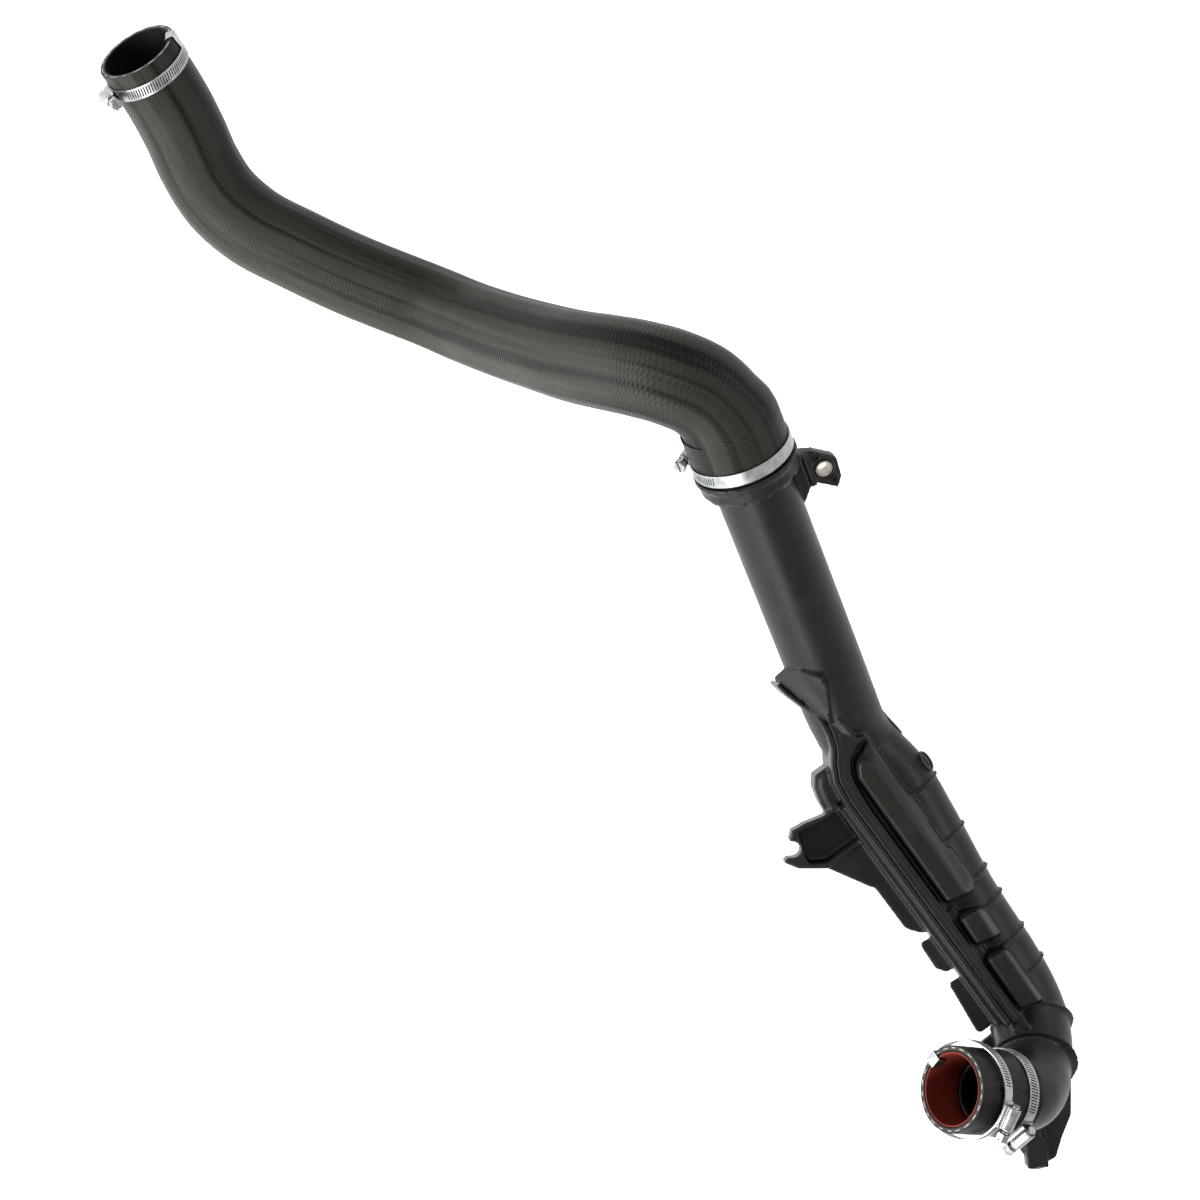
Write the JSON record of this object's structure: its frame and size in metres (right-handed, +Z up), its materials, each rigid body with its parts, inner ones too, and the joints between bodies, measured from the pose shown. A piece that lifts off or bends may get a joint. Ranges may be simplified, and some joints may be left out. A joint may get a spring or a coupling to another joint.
{
  "type": "charge air hose",
  "caption": "Charge air hose: a moulded rubber hose clamped on a plastic pipe that runs into a ribbed two-shell duct with resonance chambers and an elbow with a short lined connector hose.",
  "frame": {"origin": "centre of the part's box in plan, on the floor that the part lies on", "axes": "+Z up from the floor, +Y towards the upper hose's end, +X towards the side that the duct lies on"},
  "size_m": [0.6882, 0.8093, 0.2225],
  "materials": {
    "hose_rubber": "satin with cloth marks",
    "duct_plastic": "satin moulded grain",
    "red_lining": "matt",
    "zinc_steel": "bright rolled",
    "bush_steel": "turned"
  },
  "bodies": {
    "root": {"upper_hose": "hose_rubber", "front_shell": "duct_plastic", "rear_shell": "duct_plastic", "connector_hose": "hose_rubber", "connector_liner": "red_lining", "ear_bush": "bush_steel", "lug_bush": "bush_steel", "end_clamp_band": "zinc_steel", "end_clamp_housing": "zinc_steel", "end_clamp_screw": "zinc_steel", "end_clip": "zinc_steel", "mid_clamp_band": "zinc_steel", "mid_clamp_housing": "zinc_steel", "mid_clamp_screw": "zinc_steel", "inner_clamp_band": "zinc_steel", "inner_clamp_housing": "zinc_steel", "inner_clamp_screw": "zinc_steel", "loose_clamp_band": "zinc_steel", "loose_clamp_housing": "zinc_steel", "loose_clamp_screw": "zinc_steel", "loose_clip": "zinc_steel"}
  },
  "joints": []
}
